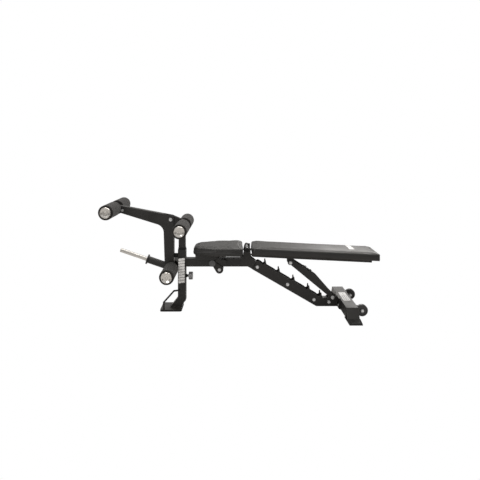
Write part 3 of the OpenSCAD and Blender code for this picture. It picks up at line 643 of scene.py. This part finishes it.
# ---- Pads ----
# Foam on a black-stained plywood board under black leather-look vinyl, pulled down over the board's edge and
# stapled beneath. The cover has a fine pebble grain, and a sewn seam with a row of stitches each side of it.
vinyl, tree, shader, spots, relief = finish(
    "pad_vinyl", (0.0088, 0.0082, 0.0076), (0.0135, 0.0124, 0.0115), (0.36, 0.47), patch=5.0, grain=40.0,
    bump=0.12, depth=0.0012, Specular_IOR_Level=0.55, Sheen_Weight=0.06, Sheen_Roughness=0.4)
place = tree.nodes.new("ShaderNodeTexCoord").outputs["Object"]
warp = wired(tree, "ShaderNodeTexNoise", {"Vector": place, "Scale": 240.0, "Detail": 2.0})
shifted = wired(tree, "ShaderNodeMix", {0: 0.002, 4: place, 5: warp.outputs["Color"]}, data_type="VECTOR")
pebble = wired(tree, "ShaderNodeTexVoronoi",
               {"Vector": shifted.outputs[1], "Scale": 620.0, "Smoothness": 0.6}, feature="SMOOTH_F1")
grain = wired(tree, "ShaderNodeBump",
              {"Strength": 0.32, "Distance": 0.00035, "Height": pebble.outputs["Distance"],
               "Normal": relief.outputs[0]})
tree.links.new(grain.outputs[0], shader.inputs["Normal"])
# Painted top light: the cover turns a little lighter where it looks up
top_light = wired(tree, "ShaderNodeGroup", {"Amount": 0.22, "Cloud Scale": 4.0}, node_tree=top_lit)
tree.links.new(tinted(tree, top_light.outputs[0], spots.outputs["Color"], (0.06, 0.056, 0.052, 1)),
               shader.inputs["Base Color"])
plywood, tree, shader, spots, _ = finish(
    "plywood", (0.014, 0.012, 0.01), (0.028, 0.024, 0.02), (0.55, 0.75), patch=9.0, grain=300.0, bump=0.3)
place = tree.nodes.new("ShaderNodeTexCoord").outputs["Object"]
rings = wired(tree, "ShaderNodeTexWave", {"Vector": place, "Scale": 9.0, "Distortion": 6.0, "Detail": 3.0},
              bands_direction="Y")
tree.links.new(tinted(tree, rings.outputs["Fac"], spots.outputs["Color"], (0.045, 0.036, 0.028, 1)),
               shader.inputs["Base Color"])
coat(plywood, *in_slot("board_wood"))
thread = finish("seam_thread", (0.014, 0.014, 0.014), (0.03, 0.03, 0.03), (0.6, 0.8), grain=2500.0,
                bump=0.3)[0]
thread_tree = path_tree("seam_stitches", "thread")


def hull_outline(circles, count):
    """Even points round the convex hull of circles (x, y, radius), counter-clockwise."""
    spots = sorted({(round(x + r * math.cos(math.radians(a)), 7), round(y + r * math.sin(math.radians(a)), 7))
                    for x, y, r in circles for a in range(0, 360, 3)})

    def chain(run):
        kept = []
        for p in run:
            while len(kept) > 1 and ((kept[-1][0] - kept[-2][0]) * (p[1] - kept[-2][1])
                                     <= (kept[-1][1] - kept[-2][1]) * (p[0] - kept[-2][0])):
                kept.pop()
            kept.append(p)
        return kept[:-1]

    ring = chain(spots) + chain(spots[::-1])
    lengths = [math.dist(ring[i], ring[(i + 1) % len(ring)]) for i in range(len(ring))]
    total, even = sum(lengths), []
    i, passed = 0, 0.0
    for k in range(count):
        want = total * k / count
        while passed + lengths[i] < want:
            passed += lengths[i]
            i += 1
        t = (want - passed) / lengths[i]
        a, b = ring[i], ring[(i + 1) % len(ring)]
        even.append((a[0] + t * (b[0] - a[0]), a[1] + t * (b[1] - a[1])))
    return even


def outline_normals(outline):
    """The outward direction at each point of a counter-clockwise outline."""
    count = len(outline)
    normals = []
    for i in range(count):
        a, b = Vector(outline[i - 1]), Vector(outline[(i + 1) % count])
        run = (b - a).normalized()
        normals.append((run.y, -run.x))
    return normals


def pad_form(outline, bottom, top_at, edge):
    """Loops of a pad before it is filled: straight sides, a rounded edge, and a top that follows top_at."""
    normals = outline_normals(outline)
    loops = []
    for inset, height in ((0.006, 0.0), (0.002, 0.003)):
        loops.append([(x - n[0] * inset, y - n[1] * inset, bottom + height)
                      for (x, y), n in zip(outline, normals)])
    for angle in range(0, 91, 15):
        inset = edge * (1 - math.cos(math.radians(angle))) + 0.0015
        drop = edge * (1 - math.sin(math.radians(angle)))
        loops.append([(x - n[0] * inset, y - n[1] * inset, top_at(x, y) - drop)
                      for (x, y), n in zip(outline, normals)])
    return loops


def stuffed(name, loops, voxel, cap, held_below):
    """Remeshes a pad's form, swells it by cloth pressure with the underside held, and smooths it once."""
    pad = skin(name, loops, vinyl, cap=True)
    remesh = pad.modifiers.new("form", "REMESH")
    remesh.mode = "VOXEL"
    remesh.voxel_size = voxel
    plain(pad)
    start = [v.co.copy() for v in pad.data.vertices]
    facing = [v.normal.copy() for v in pad.data.vertices]
    held = pad.vertex_groups.new(name="stapled")
    held.add([v.index for v in pad.data.vertices if v.co.z < held_below], 1.0, "REPLACE")
    cloth = pad.modifiers.new("cover", "CLOTH")
    cloth.settings.quality = 5
    cloth.settings.mass = 0.4
    cloth.settings.tension_stiffness = 12
    cloth.settings.compression_stiffness = 12
    cloth.settings.shear_stiffness = 6
    cloth.settings.bending_stiffness = 3
    cloth.settings.use_pressure = True
    cloth.settings.uniform_pressure_force = 4
    cloth.settings.effector_weights.gravity = 0
    cloth.settings.vertex_group_mass = held.name
    cloth.collision_settings.use_self_collision = False
    cloth.point_cache.frame_start, cloth.point_cache.frame_end = 1, 20
    for step in range(1, 21):
        scene.frame_set(step)
        bpy.context.view_layer.update()
    plain(pad)
    scene.frame_set(1)
    for vertex, before, normal in zip(pad.data.vertices, start, facing):
        moved = vertex.co - before
        reach = cap if moved.dot(normal) > 0 else 0.3 * cap
        if moved.length > reach:
            vertex.co = before + moved * (reach / moved.length)
    pad.vertex_groups.clear()
    smoothing = pad.modifiers.new("smoothing", "SUBSURF")
    smoothing.levels = smoothing.render_levels = 1
    plain(pad)
    for face in pad.data.polygons:
        face.use_smooth = True
    return pad


def plain(piece):
    """Turns a piece's modifiers into its own mesh."""
    evaluated = piece.evaluated_get(bpy.context.evaluated_depsgraph_get())
    mesh = bpy.data.meshes.new_from_object(evaluated)
    piece.modifiers.clear()
    piece.data = mesh


def solid_surface(piece):
    """A piece's faces, ready to be met by rays."""
    return BVHTree.FromPolygons([v.co for v in piece.data.vertices],
                                [tuple(f.vertices) for f in piece.data.polygons])


def sewn(pad, outline, height_at, depth, width):
    """Pulls a seam's line into the cover, and returns the line's points on it."""
    seam_at = [height_at(x, y) for x, y in outline]
    normals = outline_normals(outline)
    surface = solid_surface(pad)
    line = []
    for (x, y), n, z in zip(outline, normals, seam_at):
        hit = surface.ray_cast(Vector((x + 0.06 * n[0], y + 0.06 * n[1], z)), Vector((-n[0], -n[1], 0)))
        line.append((hit[0] or Vector((x, y, z)), hit[1] or Vector((n[0], n[1], 0))))
    for vertex, normal in zip(pad.data.vertices, [v.normal.copy() for v in pad.data.vertices]):
        off = vertex.co.z - height_at(vertex.co.x, vertex.co.y)
        side = math.hypot(normal.x, normal.y)
        if abs(off) < 3 * width and side > 0.2:
            vertex.co -= normal * depth * math.exp(-(off / width) ** 2) * min(1, side * 1.6)
    return line


def stitched(name, line, offsets, place, body):
    """Sews rows of stitches beside a seam, at each offset up or down from it."""
    rows = []
    for offset in offsets:
        rows.append([place @ (p + n * 0.0002 + Vector((0, 0, offset))) for p, n in line])
    made = grown(name, path_base(rows, True), thread_tree,
                 {"Spacing": 0.0052, "Length": 0.0038, "Width": 0.0011, "Height": 0.0011, "Unevenness": 0.06,
                  "Seed": 11, "Material": thread})
    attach(made, body)


# Seat pad: narrower and lower at the front, with a crowned top
seat_low, seat_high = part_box("seat_pad")
seat_front, seat_rear = seat_low.x, seat_high.x
seat_half = seat_high.y
seat_outline = hull_outline(
    [(seat_front + 0.042, s * 0.056, 0.0415) for s in (-1, 1)]
    + [(seat_front + 0.16, s * (seat_half - 0.022), 0.018) for s in (-1, 1)]
    + [(seat_rear - 0.016, s * (seat_half - 0.016), 0.0155) for s in (-1, 1)], 220)


def seat_top_at(x, y):
    """The seat's top falls towards its front end."""
    forward = max(0.0, min(1.0, (seat_rear - x) / (seat_rear - seat_front)))
    return seat_high.z - 0.001 - 0.006 * forward ** 2.2


seat_form = pad_form(seat_outline, seat_low.z + 0.0005, seat_top_at, 0.013)
seat_cover = stuffed("seat_cover", seat_form, 0.005, 0.006, seat_low.z + 0.006)


def crown(pad, outline, rise):
    """Raises the middle of a pad's top a little, falling away to nothing at its outline."""
    xs = [p[0] for p in outline]
    ys = [p[1] for p in outline]
    mid_x, mid_y = (min(xs) + max(xs)) / 2, (min(ys) + max(ys)) / 2
    half_x, half_y = (max(xs) - min(xs)) / 2, (max(ys) - min(ys)) / 2
    for vertex, upward in zip(pad.data.vertices, [v.normal.z for v in pad.data.vertices]):
        a, b = (vertex.co.x - mid_x) / half_x, (vertex.co.y - mid_y) / half_y
        vertex.co.z += rise * max(0.0, 1 - a ** 4) * max(0.0, 1 - b * b) * max(0.0, upward)


crown(seat_cover, seat_outline, 0.004)
seam = sewn(seat_cover, seat_outline, lambda x, y: seat_top_at(x, y) - 0.015, 0.0016, 0.0022)
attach(seat_cover, "seat")
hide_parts("seat_pad")
stitched("seat_stitches", seam, (-0.004, 0.004), Matrix.Identity(4), "seat")

# Back pad: a long pad made level at the origin, then laid in the backrest's own slope behind the axle
axle_low, axle_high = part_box("hinge_axle")
axle = Vector(((axle_low.x + axle_high.x) / 2, 0, (axle_low.z + axle_high.z) / 2))
back_slope = math.radians(2.83)
in_back = Matrix.Translation(axle) @ Matrix.Rotation(back_slope, 4, "Y")
back_low, back_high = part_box("back_pad")
back_half = back_high.y
back_start, back_end, back_bottom, back_top = 0.03, 0.905, -0.023, 0.0244
back_outline = hull_outline([(x, s * (back_half - 0.024), 0.0235)
                             for x in (back_start + 0.024, back_end - 0.024) for s in (-1, 1)], 420)


def back_top_at(x, y):
    return back_top - 0.0015


back_form = pad_form(back_outline, back_bottom + 0.0005, back_top_at, 0.011)
back_cover = stuffed("back_cover", back_form, 0.006, 0.006, back_bottom + 0.006)
crown(back_cover, back_outline, 0.0025)
seam = sewn(back_cover, back_outline, lambda x, y: back_top_at(x, y) - 0.014, 0.0016, 0.0024)
back_surface = solid_surface(back_cover)
back_cover.data.transform(in_back)
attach(back_cover, "backrest")
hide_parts("back_pad")
stitched("back_stitches", seam, (-0.004, 0.004), in_back, "backrest")

# Staples through the cover's turned edge into each board
staple_line = hull_outline([(x, s * (back_half - 0.034), 0.008)
                            for x in (0.07, back_end - 0.034) for s in (-1, 1)], 200)
bars("back_staples", "backrest", [[in_back @ Vector((x, y, -0.0242)) for x, y in staple_line]], zinc,
     0.024, (0.009, 0.0012, 0.0012), closed=True)
seat_staple_line = hull_outline([(seat_front + 0.06, s * 0.05, 0.02) for s in (-1, 1)]
                                + [(seat_rear - 0.04, s * (seat_half - 0.04), 0.012) for s in (-1, 1)], 160)
bars("seat_staples", "seat", [[(x, y, 0.3868) for x, y in seat_staple_line if x > 0.18]], zinc, 0.024,
     (0.009, 0.0012, 0.0012), closed=True)

# ---- Labels ----
# Thin white vinyl film. Plain slanted bars stand up the front post and across the back pad's rear end, and a
# plain label with grey rules lies on the rear crossbar.
film_white = finish("label_film", (0.9, 0.89, 0.88), (0.97, 0.96, 0.95), (0.3, 0.42), patch=30.0, grain=500.0,
                    bump=0.05)[0]
film_grey = finish("label_print", (0.16, 0.16, 0.165), (0.22, 0.22, 0.225), (0.4, 0.5), patch=30.0,
                   grain=500.0, bump=0.05)[0]


def film_shapes(name, body, shapes, lay, paint, thick=0.0003):
    """Cuts flat shapes of (a, b) points from film, and lays each point with lay(a, b, height)."""
    points, faces = [], []
    for shape in shapes:
        first, count = len(points), len(shape)
        points += [lay(a, b, 0.00005) for a, b in shape] + [lay(a, b, thick) for a, b in shape]
        faces.append(tuple(range(first, first + count))[::-1])
        faces.append(tuple(range(first + count, first + 2 * count)))
        faces += [(first + i, first + (i + 1) % count, first + count + (i + 1) % count, first + count + i)
                  for i in range(count)]
    made = mesh_piece(name, points, faces, paint)
    outward(made)
    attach(made, body)


def slanted(along, across, width, slant):
    """A slanted bar whose foot starts at along and is across wide."""
    far = along + width
    return [(along, -across), (far, -across), (far + slant, across), (along + slant, across)]


film_shapes("post_label", "frame", [slanted(0.178 + 0.0192 * i, 0.0215, 0.0162, 0.006) for i in range(9)],
            lambda a, b, h: (0.068 + b, -half_tube - h, a), film_white)
cross_low, cross_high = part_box("rear_crossbar")
cross_x = (cross_low.x + cross_high.x) / 2


def on_crossbar(a, b, h):
    return cross_x + b, a, cross_high.z + h


film_shapes("crossbar_label", "frame", [[(-0.095, -0.024), (0.095, -0.024), (0.095, 0.024), (-0.095, 0.024)]],
            on_crossbar, film_white)
film_shapes("crossbar_label_rules", "frame",
            [[(-0.085, b), (-0.085 + run, b), (-0.085 + run, b + 0.002), (-0.085, b + 0.002)]
             for b, run in ((-0.013, 0.12), (0.0, 0.16), (0.013, 0.08))],
            lambda a, b, h: on_crossbar(a, b, h + 0.0003), film_grey)


back_label_x = 0.727


def on_back(a, b, h):
    """A point on the back pad's top, a across the bench and b along it."""
    hit = back_surface.ray_cast(Vector((back_label_x + b, a, 0.1)), Vector((0, 0, -1)))[0]
    return in_back @ Vector((back_label_x + b, a, (hit.z if hit else back_top) + h))


film_shapes("back_label", "backrest",
            [[(a + 0.0015, -0.018), (a + 0.0175, -0.018), (a + 0.0235, 0.018), (a + 0.0075, 0.018)]
             for a in (-0.05 + 0.022 * i for i in range(8))], on_back, film_white, thick=0.0005)
